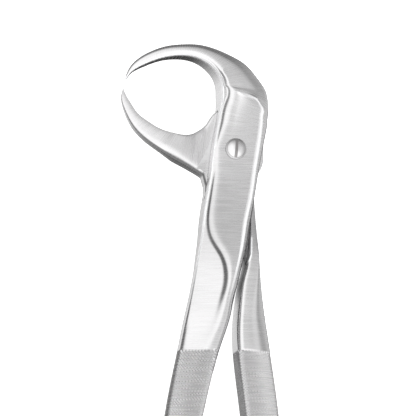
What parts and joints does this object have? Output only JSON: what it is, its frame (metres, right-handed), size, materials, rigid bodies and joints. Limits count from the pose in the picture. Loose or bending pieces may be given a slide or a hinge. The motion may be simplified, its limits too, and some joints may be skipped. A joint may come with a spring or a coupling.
{
  "type": "extraction forceps",
  "caption": "Dental extraction forceps with cowhorn beaks at a right angle to the handles, two crossing forged halves turning on a slotted pivot screw.",
  "frame": {"origin": "centre of the pivot screw's tail, on the joint's back face", "axes": "+Z along the joint axis out of the screw's head, -Y along the handles, beaks towards -X"},
  "size_m": [0.0504, 0.1755, 0.0132],
  "materials": {
    "satin_steel": "fine brushed satin stainless steel",
    "screw_steel": "turned and polished stainless steel"
  },
  "bodies": {
    "rear": {"rear_half": "satin_steel", "pivot_screw": "screw_steel"},
    "front": {"front_half": "satin_steel"}
  },
  "joints": [
    {"name": "jaw_opening", "type": "hinge", "parent": "rear", "child": "front", "pos_m": [0, 0, 0.006], "axis": [0, 0, -1], "range_deg": [0, 22]}
  ]
}
